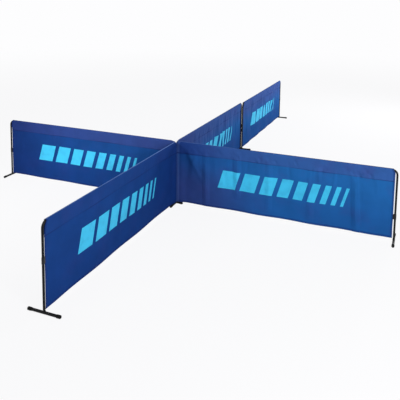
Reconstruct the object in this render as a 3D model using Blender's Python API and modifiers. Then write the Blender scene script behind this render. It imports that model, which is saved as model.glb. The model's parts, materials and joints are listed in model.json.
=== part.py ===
"""A court barrier of five cloth-covered panels, standing as a cross.

Each panel is a frame of bent steel tube with a cloth hung over its top rail. Four
panels turn on the upright pins of a cross foot. The fifth, the extension, turns on
the joint foot at the far end of the back panel. The other feet swivel under a leg.

Lengths are in metres. X runs from the left panel to the right one, Y from the front
panel to the back one, Z is up, and the origin is on the floor under the middle.
"""

from math import acos, atan2, cos, hypot, pi, radians, sin

import bmesh
import bpy

# Panel, over the outside of the frame and the cloth
PANEL_LENGTH = 2.33
PANEL_HEIGHT = 0.73

# Frame tube
TUBE_RADIUS = 0.010
TUBE_WALL = 0.0012
TUBE_BEND_RADIUS = 0.050
LEG_ARM = 0.150
SWAGE_LENGTH = 0.060
SWAGE_TAPER = 0.006

# Fits: the gap between pieces that touch
FIT_GAP = 0.0003

# Feet: a round bar, with a collar and a pin welded on for each post
FOOT_LENGTH = 0.300
CROSSBAR_LENGTH = 0.160
BAR_RADIUS = 0.0115
COLLAR_RADIUS = 0.0115
COLLAR_RISE = 0.004
PIN_LENGTH = 0.055
PIN_CHAMFER = 0.0015
CAP_RADIUS = 0.0138
CAP_LENGTH = 0.034
CAP_WALL = 0.003
CAP_ROUND = 0.004
CAP_FLAT = 0.0008
FLOOR_CUT_DEPTH = 0.010
FLOOR_CUT_OVERRUN = 0.020

# Where the posts stand
HUB_RADIUS = 0.032
JOINT_SPACING = 0.0225

# Cover cloth
CLOTH_THICKNESS = 0.0012
HEM_HEIGHT = 0.030
BAND_DEPTH = 0.130
FLAP_GAP = 0.001
EDGE_INSET = 0.018
EDGE_SWAY = 0.003
CORNER_INSET = 0.036
CORNER_DEPTH = 0.050
HUB_OVERLAPS = {"front": 0.012, "left": 0.012, "right": 0.024, "back": 0.012}
HUB_DROOP = 0.012
POST_PASS_START = 0.020
POST_PASS_REACH = 0.080
DROOP_REACH = 0.035
OPEN_FLAP_REACH = 0.065
OPEN_FLAP_BLEND = 0.120
FOLD_REACH = 0.260
FOLD_SPREAD_SHARE = 0.3

# Main folds of each cover: depth, width, and the share of a width that it is shifted
FOLD_DEPTHS = {"front": 0.003, "left": 0.003, "right": 0.005, "back": 0.003,
               "extension": 0.003}
FOLD_WIDTHS = {"front": 0.74, "left": 0.62, "right": 0.57, "back": 0.46,
               "extension": 0.50}
FOLD_SHIFT_SHARES = {"front": 0.10, "left": 0.35, "right": 0.60, "back": 0.20,
                     "extension": 0.75}

# The slack swag beside the hub, on the right panel's cover
SWAG_PLACE = 0.170
SWAG_REACH = 0.110
SWAG_DEPTH = 0.012

# Cover ties: the height of each panel's, over the floor
TIE_HEIGHTS = {"front": 0.420, "left": 0.330, "right": 0.250, "back": 0.300,
               "extension": 0.365}
TIE_WIDTH = 0.050
TIE_THICKNESS = 0.0018

# Fineness of the round and hanging forms
TUBE_RINGS = 12
BAR_RINGS = 16
CAP_RINGS = 16
BEND_STEPS = 5
WRAP_STEPS = 4
COVER_COLUMNS = 25
TIE_STEPS = 14
SMOOTH_ANGLE = radians(40)
MERGE_DISTANCE = 0.00001

# Sizes that follow from the ones above
POST_SPACING = PANEL_LENGTH - 2 * TUBE_RADIUS
BORE_RADIUS = TUBE_RADIUS - TUBE_WALL
PLUG_RADIUS = BORE_RADIUS * cos(pi / TUBE_RINGS) - FIT_GAP
WRAP_RADIUS = (TUBE_RADIUS + FIT_GAP + CLOTH_THICKNESS / 2) / cos(pi / (2 * WRAP_STEPS))
RAIL_HEIGHT = PANEL_HEIGHT - WRAP_RADIUS - CLOTH_THICKNESS / 2
STITCH_HEIGHT = PANEL_HEIGHT - BAND_DEPTH
BAR_HEIGHT = CAP_RADIUS - CAP_FLAT
COLLAR_TOP = BAR_HEIGHT + BAR_RADIUS + COLLAR_RISE
LEG_BOTTOM = COLLAR_TOP + FIT_GAP
BEND_HEIGHT = RAIL_HEIGHT - TUBE_BEND_RADIUS
HANG_OFFSET = (CLOTH_THICKNESS + FLAP_GAP) / 2
HUB_Y = -POST_SPACING / 2

# Each panel at the hub: the way it points, and the side of the rail its cloth hangs on
HUB_PANELS = {"front": (-pi / 2, 1), "left": (pi, 1), "right": (0, -1),
              "back": (pi / 2, -1)}
EXTENSION_SIDE = -1


def clear_scene():
    for old in list(bpy.data.objects):
        bpy.data.objects.remove(old, do_unlink=True)


def new_collection(name):
    collection = bpy.data.collections.new(name)
    bpy.context.scene.collection.children.link(collection)
    return collection


def new_material(name, colour, roughness, metallic):
    material = bpy.data.materials.new(name)
    material.use_nodes = True
    shader = material.node_tree.nodes["Principled BSDF"]
    shader.inputs["Base Color"].default_value = (*colour, 1)
    shader.inputs["Roughness"].default_value = roughness
    shader.inputs["Metallic"].default_value = metallic
    material.diffuse_color = (*colour, 1)
    return material


def frame_black(node):
    """Black powder coat on steel tube."""
    return new_material(node + "_powder_coat", (0.010, 0.011, 0.012), 0.42, 0.0)


def cap_rubber(node):
    return new_material(node + "_rubber", (0.008, 0.008, 0.009), 0.75, 0.0)


def cover_blue(node):
    return new_material(node + "_polyester", (0.018, 0.075, 0.300), 0.62, 0.0)


def tie_black(node):
    return new_material(node + "_webbing", (0.012, 0.013, 0.016), 0.85, 0.0)


def add_object(name, data, collection, parent=None, place=(0, 0, 0), turn=(0, 0, 0)):
    thing = bpy.data.objects.new(name, data)
    collection.objects.link(thing)
    thing.parent = parent
    thing.location = place
    thing.rotation_euler = turn
    return thing


def add_empty(name, parent, place, turn=0.0):
    """A joint axis: an empty on the axis, turned about Z."""
    return add_object(name, None, PARTS, parent, place, (0, 0, turn))


def as_cutter(thing):
    thing.hide_render = True
    thing.display_type = 'WIRE'
    return thing


def add_boolean(thing, tool, operation):
    modifier = thing.modifiers.new(operation.title(), 'BOOLEAN')
    modifier.operation = operation
    modifier.solver = 'EXACT'
    modifier.object = tool


def add_screw(thing, steps):
    """Turn a profile round Z. A profile runs down its outer side, top to bottom."""
    modifier = thing.modifiers.new("Turned", 'SCREW')
    modifier.axis = 'Z'
    modifier.steps = steps
    modifier.render_steps = steps
    modifier.use_merge_vertices = True
    modifier.merge_threshold = MERGE_DISTANCE
    modifier.use_smooth_shade = True


def add_wall(thing, thickness, offset):
    modifier = thing.modifiers.new("Wall", 'SOLIDIFY')
    modifier.thickness = thickness
    modifier.offset = offset
    modifier.use_even_offset = True


def profile_mesh(name, points):
    """An open line of points in the XZ plane, for a turned shape."""
    mesh = bpy.data.meshes.new(name)
    edges = [(i, i + 1) for i in range(len(points) - 1)]
    mesh.from_pydata([(r, 0, z) for r, z in points], edges, [])
    return mesh


def tube_curve(name, points, radii, radius):
    """An open round tube through points, each with its own share of the radius."""
    curve = bpy.data.curves.new(name, 'CURVE')
    curve.dimensions = '3D'
    curve.bevel_depth = radius
    curve.bevel_resolution = TUBE_RINGS // 2 - 2
    spline = curve.splines.new('POLY')
    spline.points.add(len(points) - 1)
    for knot, point, share in zip(spline.points, points, radii):
        knot.co = (*point, 1)
        knot.radius = share
    return curve


def leg_curve():
    """Post, bend and arm of a leg, from its open foot end to its open rail end."""
    points = [(0, 0, LEG_BOTTOM)]
    for step in range(BEND_STEPS + 1):
        angle = pi / 2 * step / BEND_STEPS
        points.append((TUBE_BEND_RADIUS * (1 - cos(angle)), 0,
                       BEND_HEIGHT + TUBE_BEND_RADIUS * sin(angle)))
    points.append((LEG_ARM, 0, RAIL_HEIGHT))
    return tube_curve("leg", points, [1] * len(points), TUBE_RADIUS)


def rail_curve():
    """The straight rail: full size between the leg arms, swaged down inside them."""
    mouth = LEG_ARM + FIT_GAP
    near_half = [(mouth - SWAGE_LENGTH, PLUG_RADIUS), (mouth, PLUG_RADIUS),
                 (mouth + SWAGE_TAPER, TUBE_RADIUS)]
    far_half = [(POST_SPACING - x, radius) for x, radius in reversed(near_half)]
    stations = near_half + far_half
    points = [(x, 0, RAIL_HEIGHT) for x, radius in stations]
    return tube_curve("rail", points, [radius / TUBE_RADIUS for x, radius in stations],
                      TUBE_RADIUS)


def add_tube(name, curve, parent, place=(0, 0, 0), turn=0.0):
    tube = add_object(name, curve.copy(), PARTS, parent, place, (0, 0, turn))
    tube.data.materials.append(frame_black(name))
    add_wall(tube, TUBE_WALL, -1)


def bar_mesh(length):
    """A foot's bar, lying along its own Z until it is turned."""
    mesh = bpy.data.meshes.new("bar")
    shape = bmesh.new()
    bmesh.ops.create_cone(shape, cap_ends=True, segments=BAR_RINGS, radius1=BAR_RADIUS,
                          radius2=BAR_RADIUS, depth=length - 2 * (CAP_WALL + FIT_GAP))
    shape.to_mesh(mesh)
    shape.free()
    mesh.shade_smooth()
    mesh.set_sharp_from_angle(angle=SMOOTH_ANGLE)
    return mesh


def pin_profile():
    """Half section of a collar and its pin, standing on the bar's middle line."""
    top = COLLAR_TOP + PIN_LENGTH
    return [(0, top), (PLUG_RADIUS - PIN_CHAMFER, top), (PLUG_RADIUS, top - PIN_CHAMFER),
            (PLUG_RADIUS, COLLAR_TOP), (COLLAR_RADIUS, COLLAR_TOP),
            (COLLAR_RADIUS, BAR_HEIGHT), (0, BAR_HEIGHT)]


def cap_profile(length):
    """Half section of the push-on end cap of a bar: outer wall and end, then the bore."""
    end = length / 2
    mouth = end - CAP_LENGTH
    bore = BAR_RADIUS + FIT_GAP
    return [(0, end), (CAP_RADIUS - CAP_ROUND, end), (CAP_RADIUS, end - CAP_ROUND),
            (CAP_RADIUS, mouth), (bore, mouth), (bore, end - CAP_WALL),
            (0, end - CAP_WALL)]


def add_foot(name, parent, bars, centre, posts):
    """A foot: bars through its centre, a pin at each post, and a cap on each bar end.

    Each bar is a length and a turn, where no turn lies along the parent's Y. The
    centre and posts are in the parent's plane.
    """
    tilt = pi / 2
    middle = (*centre, BAR_HEIGHT)
    bar = add_object(name + "_bar", bar_mesh(bars[0][0]), PARTS, parent, middle,
                     (tilt, 0, bars[0][1]))
    bar.data.materials.append(frame_black(name))
    for length, turn in bars[1:]:
        other = add_object(name + "_crossbar", bar_mesh(length), CUTTERS, parent, middle,
                           (tilt, 0, turn))
        add_boolean(bar, as_cutter(other), 'UNION')
    for number, post in enumerate(posts):
        pin = add_object(f"{name}_pin_{number}", profile_mesh("pin", pin_profile()),
                         CUTTERS, parent, (*post, 0))
        add_screw(pin, TUBE_RINGS)
        add_boolean(bar, as_cutter(pin), 'UNION')
    floor = add_floor_cut(name + "_floor", parent, centre)
    ends = [(length, turn + half) for length, turn in bars for half in (0, pi)]
    for number, (length, turn) in enumerate(ends, 1):
        cap = add_object(f"{name}_cap_{number}", profile_mesh("cap", cap_profile(length)),
                         PARTS, parent, middle, (tilt, 0, turn))
        cap.data.materials.append(cap_rubber(cap.name))
        add_screw(cap, CAP_RINGS)
        add_boolean(cap, floor, 'DIFFERENCE')


def add_floor_cut(name, parent, centre):
    """A slab under the floor level, which cuts the caps' flat undersides."""
    mesh = bpy.data.meshes.new(name)
    shape = bmesh.new()
    bmesh.ops.create_cube(shape, size=1)
    width = FOOT_LENGTH + 2 * FLOOR_CUT_OVERRUN
    bmesh.ops.scale(shape, vec=(width, width, FLOOR_CUT_DEPTH), verts=shape.verts)
    shape.to_mesh(mesh)
    shape.free()
    return as_cutter(add_object(name, mesh, CUTTERS, parent,
                                (*centre, -FLOOR_CUT_DEPTH / 2)))


def smooth_step(value):
    value = min(1, max(0, value))
    return value * value * (3 - 2 * value)


def edge_inset(name, z):
    """How far the cloth's side edge stands from the post's axis at height z."""
    tie_low = TIE_HEIGHTS[name] - TIE_WIDTH / 2
    tie_high = TIE_HEIGHTS[name] + TIE_WIDTH / 2
    corner_low = PANEL_HEIGHT - CORNER_DEPTH
    sway = 0
    if z < tie_low:
        sway = sin(pi * (z - HEM_HEIGHT) / (tie_low - HEM_HEIGHT))
    elif tie_high < z < corner_low:
        sway = sin(pi * (z - tie_high) / (corner_low - tie_high))
    corner = smooth_step((z - corner_low) / CORNER_DEPTH)
    return EDGE_INSET + EDGE_SWAY * sway + (CORNER_INSET - EDGE_INSET) * corner


def fold_depth(name, x, z):
    """How far the hanging cloth stands out of its flat plane."""
    ends = smooth_step(x / FOLD_REACH)
    ends *= smooth_step((POST_SPACING - x) / FOLD_REACH)
    spread = 1 + FOLD_SPREAD_SHARE * (1 - z / RAIL_HEIGHT) ** 2
    below_rail = smooth_step((RAIL_HEIGHT - z) / BAND_DEPTH)
    wave = sin(2 * pi * (x / FOLD_WIDTHS[name] + FOLD_SHIFT_SHARES[name]))
    depth = FOLD_DEPTHS[name] * wave * ends * spread
    if name == "right":
        swag = 1 - abs(x - SWAG_PLACE) / SWAG_REACH
        fade = smooth_step((z - HEM_HEIGHT) / (STITCH_HEIGHT - HEM_HEIGHT))
        depth += SWAG_DEPTH * smooth_step(swag) * fade
    return depth * below_rail


def hanging_place(name, x, z, meets_hub):
    """How far the hanging layer stands from the plane of the posts.

    It comes in from the rail to its stitch line and hangs there between the posts.
    Beside the hub it passes the post on its own side.
    """
    drawn_in = min(1, (RAIL_HEIGHT - z) / (RAIL_HEIGHT - STITCH_HEIGHT))
    if meets_hub:
        drawn_in *= smooth_step((x - POST_PASS_START) / POST_PASS_REACH)
    return WRAP_RADIUS + (HANG_OFFSET - WRAP_RADIUS) * drawn_in + fold_depth(name, x, z)


def cover_section(name, x, meets_hub):
    """The cloth across the rail at x: up the hanging side, over, and down the flap.

    Gives points (y, z) with y on the hanging side counted positive.
    """
    tie_low = TIE_HEIGHTS[name] - TIE_WIDTH / 2
    tie_high = TIE_HEIGHTS[name] + TIE_WIDTH / 2
    heights = [HEM_HEIGHT, (HEM_HEIGHT + tie_low) / 2, tie_low, tie_high,
               (tie_high + STITCH_HEIGHT) / 2, STITCH_HEIGHT,
               (STITCH_HEIGHT + RAIL_HEIGHT) / 2]
    points = [(hanging_place(name, x, z, meets_hub), z) for z in heights]
    for step in range(WRAP_STEPS + 1):
        angle = pi * step / WRAP_STEPS
        points.append((WRAP_RADIUS * cos(angle), RAIL_HEIGHT + WRAP_RADIUS * sin(angle)))
    stitched = hanging_place(name, x, STITCH_HEIGHT, meets_hub) - 2 * HANG_OFFSET
    shut = smooth_step((x - OPEN_FLAP_REACH) / OPEN_FLAP_BLEND) if meets_hub else 1
    bottom = -WRAP_RADIUS + (stitched + WRAP_RADIUS) * shut
    points.append(((bottom - WRAP_RADIUS) / 2, (STITCH_HEIGHT + RAIL_HEIGHT) / 2))
    points.append((bottom, STITCH_HEIGHT))
    return points


def cover_mesh(name, side, meets_hub):
    """A cloth sheet, folded over the rail and hanging to its hem."""
    rows = len(cover_section(name, 0, meets_hub)) - 1
    near_stations = []
    if meets_hub:
        near_stations = [-HUB_OVERLAPS[name], DROOP_REACH, OPEN_FLAP_REACH]
    columns = COVER_COLUMNS
    mesh = bpy.data.meshes.new(name + "_cover")
    shape = bmesh.new()
    bmesh.ops.create_grid(shape, x_segments=columns, y_segments=rows, size=0.5)
    for vertex in shape.verts:
        column = round((vertex.co.x + 0.5) * columns)
        row = round((vertex.co.y + 0.5) * rows)
        vertex.co = cover_point(name, side, meets_hub, near_stations, column, row)
    shape.to_mesh(mesh)
    shape.free()
    mesh.shade_smooth()
    return mesh


def cover_point(name, side, meets_hub, near_stations, column, row):
    """One point of the cloth grid, in the panel's own frame."""
    plain = cover_section(name, 0, meets_hub)[row][1]
    far_edge = POST_SPACING - edge_inset(name, plain)
    if column < len(near_stations):
        x = near_stations[column]
    else:
        start = near_stations[-1] if near_stations else edge_inset(name, plain)
        first = max(len(near_stations) - 1, 0)
        x = start + (far_edge - start) * (column - first) / (COVER_COLUMNS - first)
    y, z = cover_section(name, x, meets_hub)[row]
    if meets_hub and x < DROOP_REACH and z > STITCH_HEIGHT:
        droop = HUB_DROOP * (DROOP_REACH - x) / (DROOP_REACH + HUB_OVERLAPS[name])
        z -= droop * (z - STITCH_HEIGHT) / BAND_DEPTH
    return x, y * side, z


def add_cover(name, parent, side, meets_hub):
    cover = add_object(name + "_cover", cover_mesh(name, side, meets_hub), PARTS, parent)
    cover.data.materials.append(cover_blue(name))
    add_wall(cover, CLOTH_THICKNESS, 0)


def tie_curve(name, way):
    """Flat outline of a strap: a loop round the post, drawn together at the cloth's edge.

    way points along X to the cloth.
    """
    inner = TUBE_RADIUS + FIT_GAP
    outer = inner + TIE_THICKNESS
    tail = EDGE_INSET - FIT_GAP
    start = atan2(TIE_THICKNESS, tail) + acos(outer / hypot(TIE_THICKNESS, tail))
    angles = [start + 2 * (pi - start) * step / TIE_STEPS for step in range(TIE_STEPS + 1)]
    outline = [(tail, TIE_THICKNESS)]
    outline += [(outer * cos(angle), outer * sin(angle)) for angle in angles]
    outline.append((tail, -TIE_THICKNESS))
    turns = [2 * pi * step / TIE_STEPS for step in range(TIE_STEPS)]
    hole = [(inner * cos(turn), inner * sin(turn)) for turn in turns]
    curve = bpy.data.curves.new(name, 'CURVE')
    curve.dimensions = '2D'
    curve.fill_mode = 'BOTH'
    curve.extrude = TIE_WIDTH / 2
    for points in (outline, hole):
        spline = curve.splines.new('POLY')
        spline.points.add(len(points) - 1)
        spline.use_cyclic_u = True
        for knot, (x, y) in zip(spline.points, points):
            knot.co = (x * way, y, 0, 1)
    curve.materials.append(tie_black(name))
    return curve


def add_tie(panel_name, end, parent, post_x, way):
    name = panel_name + "_" + end + "_tie"
    place = (post_x, 0, TIE_HEIGHTS[panel_name])
    add_object(name, tie_curve(name, way), PARTS, parent, place)


def add_panel(name, place, turn, side, meets_hub):
    """One panel: its frame, cover and outer tie, on an empty at its inner post."""
    panel = add_empty(name + "_swing_axis", None, place, turn)
    add_tube(name + "_inner_leg", LEG, panel)
    add_tube(name + "_outer_leg", LEG, panel, (POST_SPACING, 0, 0), pi)
    add_tube(name + "_top_rail", RAIL, panel)
    add_cover(name, panel, side, meets_hub)
    add_tie(name, "outer", panel, POST_SPACING, -1)
    return panel


def add_end_foot(name, panel):
    """The single foot under a panel's outer leg, on an empty at its swivel axis."""
    axis = add_empty(name + "_foot_axis", panel, (POST_SPACING, 0, 0))
    add_foot(name + "_foot", axis, [(FOOT_LENGTH, 0)], (0, 0), [(0, 0)])


def build():
    hub = add_empty("hub_axis", None, (0, HUB_Y, 0))
    posts = [(HUB_RADIUS * cos(turn), HUB_RADIUS * sin(turn))
             for turn, side in HUB_PANELS.values()]
    add_foot("hub_foot", hub, [(FOOT_LENGTH, 0), (CROSSBAR_LENGTH, pi / 2)], (0, 0), posts)
    for (name, (turn, side)), (x, y) in zip(HUB_PANELS.items(), posts):
        panel = add_panel(name, (x, HUB_Y + y, 0), turn, side, True)
        if name == "back":
            shift = JOINT_SPACING * side
            add_foot("joint_foot", panel, [(FOOT_LENGTH, 0)], (POST_SPACING, shift / 2),
                     [(POST_SPACING, 0), (POST_SPACING, shift)])
        else:
            add_end_foot(name, panel)
    joint = (JOINT_SPACING, HUB_Y + HUB_RADIUS + POST_SPACING, 0)
    panel = add_panel("extension", joint, pi / 2, EXTENSION_SIDE, False)
    add_tie("extension", "inner", panel, 0, 1)
    add_end_foot("extension", panel)


clear_scene()
PARTS = new_collection("Court barrier")
CUTTERS = new_collection("Cutters")
LEG = leg_curve()
RAIL = rail_curve()
build()
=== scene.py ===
"""Looks of the court barrier: five cloth-covered panels that stand as a cross.

Lengths are in metres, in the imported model's frame: X runs from the left panel to the
right one, Y from the front panel to the back one, and Z is up from the floor.
"""

import json
from math import acos, atan2, cos, hypot, pi, radians, sin

import bmesh
import bpy
import numpy as np
from mathutils import Matrix, Vector


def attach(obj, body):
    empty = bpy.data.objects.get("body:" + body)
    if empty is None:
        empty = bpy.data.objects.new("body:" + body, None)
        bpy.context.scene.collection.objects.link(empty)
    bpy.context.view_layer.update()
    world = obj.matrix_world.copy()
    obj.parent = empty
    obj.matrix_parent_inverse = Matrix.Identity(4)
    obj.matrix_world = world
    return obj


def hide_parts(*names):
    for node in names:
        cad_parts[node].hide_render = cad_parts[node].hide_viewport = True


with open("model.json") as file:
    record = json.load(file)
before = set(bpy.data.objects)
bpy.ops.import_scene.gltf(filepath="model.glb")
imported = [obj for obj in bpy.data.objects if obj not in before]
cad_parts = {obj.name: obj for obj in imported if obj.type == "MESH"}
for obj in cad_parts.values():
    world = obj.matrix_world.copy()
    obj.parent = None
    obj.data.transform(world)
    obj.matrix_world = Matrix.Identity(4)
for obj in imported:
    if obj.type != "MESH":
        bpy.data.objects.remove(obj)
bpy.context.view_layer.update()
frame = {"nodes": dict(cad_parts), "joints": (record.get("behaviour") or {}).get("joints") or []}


# Camera. It stands outside the corner between the front and right panels, above head
# height, and looks slightly down along the cross. The lens is shifted, as on a view
# camera, so that the posts stay nearly upright in the picture.
CAMERA_PLACE = (2.4963, -6.6014, 2.4174)
CAMERA_YAW = radians(-22.241)
CAMERA_DIP = radians(6.898)
CAMERA_ROLL = radians(0.774)
LENS_MM = 49.244
SENSOR_MM = 36
FRAME_SHIFT = -0.36

ahead = Vector((sin(CAMERA_YAW) * cos(CAMERA_DIP), cos(CAMERA_YAW) * cos(CAMERA_DIP),
                -sin(CAMERA_DIP)))
level = Vector((cos(CAMERA_YAW), -sin(CAMERA_YAW), 0))
upright = level.cross(ahead)
across = level * cos(CAMERA_ROLL) + upright * sin(CAMERA_ROLL)
camera_data = bpy.data.cameras.new("camera")
camera_data.lens = LENS_MM
camera_data.sensor_width = SENSOR_MM
camera_data.shift_y = FRAME_SHIFT
camera = bpy.data.objects.new("camera", camera_data)
camera.matrix_world = Matrix.Translation(CAMERA_PLACE) @ Matrix(
    (across, across.cross(ahead), -ahead)).transposed().to_4x4()
bpy.context.scene.collection.objects.link(camera)
bpy.context.scene.camera = camera
bpy.context.scene.view_settings.view_transform = 'Standard'


# Studio. A smooth pale floor runs into a white background. Three large softboxes stand
# to the front right, the front left and the back right, and the rest is even light.
FLOOR_RADIUS = 60
FLOOR_SIDES = 96
FLOOR_SINK = 0.0005
FLOOR_WHITE = "#FDFDFE"
FLOOR_PAINT = "#F2F2F6"
AMBIENT_STRENGTH = 0.45

# The floor glows by this share near the barrier, and fully from the second distance on,
# where it meets the white background
GLOW_SHARE = 0.92
GLOW_START = 5
GLOW_END = 16

# Softboxes: place, target, width and watts. One has a narrow spread.
SOFTBOXES = {"front_right": ((4.7, -5.0, 2.8), (0.8, -1.4, 0.3), 1.0, 175),
             "front_left": ((-2.3, -5.6, 2.6), (-1.3, -1.2, 0.3), 1.0, 19),
             "back_right": ((3.0, 5.0, 2.8), (0.0, 1.2, 0.3), 1.0, 140)}
SOFTBOX_SPREADS = {"front_left": radians(60)}


def linear(hex_colour):
    """An sRGB hex colour as linear values, with full alpha."""
    shares = [int(hex_colour[i:i + 2], 16) / 255 for i in (1, 3, 5)]
    return (*(s / 12.92 if s <= 0.04045 else ((s + 0.055) / 1.055) ** 2.4
              for s in shares), 1)


def add_node(tree, kind, inputs=(), **settings):
    """Add a node with its settings. An input gets a value or the output to link."""
    node = tree.nodes.new(kind)
    for name, value in settings.items():
        setattr(node, name, value)
    for name, value in dict(inputs).items():
        if isinstance(value, bpy.types.NodeSocket):
            tree.links.new(value, node.inputs[name])
        else:
            node.inputs[name].default_value = value
    return node


def add_piece(name, mesh):
    """An object of this mesh, at the origin."""
    piece = bpy.data.objects.new(name, mesh)
    bpy.context.scene.collection.objects.link(piece)
    return piece


def seen_directly(tree):
    """One where the eye sees a thing straight or in a gloss, and zero for its light."""
    path = add_node(tree, 'ShaderNodeLightPath').outputs
    direct = add_node(tree, 'ShaderNodeMath',
                      {0: path["Is Camera Ray"], 1: path["Is Glossy Ray"]},
                      operation='MAXIMUM')
    return add_node(tree, 'ShaderNodeMath',
                    {0: direct.outputs[0], 1: path["Is Transmission Ray"]},
                    operation='MAXIMUM').outputs[0]


shape = bmesh.new()
bmesh.ops.create_circle(shape, cap_ends=True, segments=FLOOR_SIDES,
                        radius=FLOOR_RADIUS)
bmesh.ops.translate(shape, vec=(0, 0, -FLOOR_SINK), verts=shape.verts)
floor_mesh = bpy.data.meshes.new("studio_floor")
shape.to_mesh(floor_mesh)
shape.free()
floor = add_piece("studio_floor", floor_mesh)

paint = bpy.data.materials.new("matt white studio floor")
paint.use_nodes = True
tree = paint.node_tree
tree.nodes.clear()
place = add_node(tree, 'ShaderNodeTexCoord').outputs["Object"]
reach = add_node(tree, 'ShaderNodeVectorMath', {0: place}, operation='LENGTH')
glow = add_node(tree, 'ShaderNodeMapRange',
                {"Value": reach.outputs["Value"], "From Min": GLOW_START,
                 "From Max": GLOW_END, "To Min": GLOW_SHARE, "To Max": 1},
                interpolation_type='SMOOTHSTEP')
share = add_node(tree, 'ShaderNodeMath',
                 {0: glow.outputs["Result"], 1: seen_directly(tree)},
                 operation='MULTIPLY')
matt = add_node(tree, 'ShaderNodeBsdfDiffuse', {"Color": linear(FLOOR_PAINT)})
bright = add_node(tree, 'ShaderNodeEmission', {"Color": linear(FLOOR_WHITE)})
mixed = add_node(tree, 'ShaderNodeMixShader',
                 {0: share.outputs[0], 1: matt.outputs[0], 2: bright.outputs[0]})
add_node(tree, 'ShaderNodeOutputMaterial', {"Surface": mixed.outputs[0]})
floor_mesh.materials.append(paint)

world = bpy.data.worlds.new("even studio light")
bpy.context.scene.world = world
world.use_nodes = True
tree = world.node_tree
tree.nodes.clear()
even = add_node(tree, 'ShaderNodeBackground', {"Strength": AMBIENT_STRENGTH})
white = add_node(tree, 'ShaderNodeBackground', {"Color": linear(FLOOR_WHITE)})
mixed = add_node(tree, 'ShaderNodeMixShader',
                 {0: seen_directly(tree), 1: even.outputs[0], 2: white.outputs[0]})
add_node(tree, 'ShaderNodeOutputWorld', {"Surface": mixed.outputs[0]})

for name, (place, target, size, watts) in SOFTBOXES.items():
    lamp = bpy.data.lights.new(name, 'AREA')
    lamp.size = size
    lamp.energy = watts
    lamp.spread = SOFTBOX_SPREADS.get(name, pi)
    box = bpy.data.objects.new(name + "_softbox", lamp)
    box.matrix_world = Matrix.Translation(place) @ (
        Vector(place) - Vector(target)).to_track_quat('Z', 'Y').to_matrix().to_4x4()
    bpy.context.scene.collection.objects.link(box)


# Frame tubes: the legs and top rails, 20 mm round steel tube, bent cold, swaged at the
# rail's ends and powder coated black. The same coat covers the foot bars.
COAT_BLACK = "#0B0C0D"
COAT_WORN = "#1C1D1F"
COAT_GRAIN = 0.0006
COAT_RELIEF = 0.0002
COAT_ROUGHNESS = (0.34, 0.52)
SCUFF_SIZE = 0.030
SCUFF_RANGE = (0.52, 0.80)


def new_material(name, **sockets):
    """A material whose shader has these even values, with its tree and that shader."""
    made = bpy.data.materials.new(name)
    made.use_nodes = True
    shader = made.node_tree.nodes["Principled BSDF"]
    for socket, value in sockets.items():
        shader.inputs[socket.replace("_", " ")].default_value = value
    return made, made.node_tree, shader


# Powder coat: fine orange-peel gloss that turns a little dull and grey where it rubs.
coat, tree, shader = new_material("satin black powder coat on steel", IOR=1.5,
                                  Specular_IOR_Level=0.14)
place = add_node(tree, 'ShaderNodeTexCoord').outputs["Object"]
scuffs = add_node(tree, 'ShaderNodeTexNoise',
                  {"Vector": place, "Scale": 1 / SCUFF_SIZE, "Detail": 6})
worn = add_node(tree, 'ShaderNodeMapRange',
                {"Value": scuffs.outputs["Fac"], "From Min": SCUFF_RANGE[0],
                 "From Max": SCUFF_RANGE[1]})
tint = add_node(tree, 'ShaderNodeMix',
                {0: worn.outputs[0], 6: linear(COAT_BLACK), 7: linear(COAT_WORN)},
                data_type='RGBA')
tree.links.new(tint.outputs[2], shader.inputs["Base Color"])
dull = add_node(tree, 'ShaderNodeMapRange',
                {"Value": scuffs.outputs["Fac"], "To Min": COAT_ROUGHNESS[0],
                 "To Max": COAT_ROUGHNESS[1]})
tree.links.new(dull.outputs[0], shader.inputs["Roughness"])
peel = add_node(tree, 'ShaderNodeTexNoise',
                {"Vector": place, "Scale": 1 / COAT_GRAIN, "Detail": 2})
relief = add_node(tree, 'ShaderNodeBump',
                  {"Height": peel.outputs["Fac"], "Strength": 0.15,
                   "Distance": COAT_RELIEF})
tree.links.new(relief.outputs[0], shader.inputs["Normal"])

for name, node in frame["nodes"].items():
    if name.endswith(("_leg", "_rail", "_bar")):
        node.data.materials.clear()
        node.data.materials.append(coat)


# Welds: each collar that carries a post is welded to its foot bar all round, a row of
# small overlapping beads where the two rounds meet, coated black with the bar.
BAR_RADIUS = 0.0115
BAR_HEIGHT = 0.0130
WELD_BEAD = (0.0030, 0.0026, 0.0026)
WELD_PITCH = 0.0015
WELD_UNEVENNESS = 0.15
WELD_SEED = 3
WELD_STEPS = 60


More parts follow.
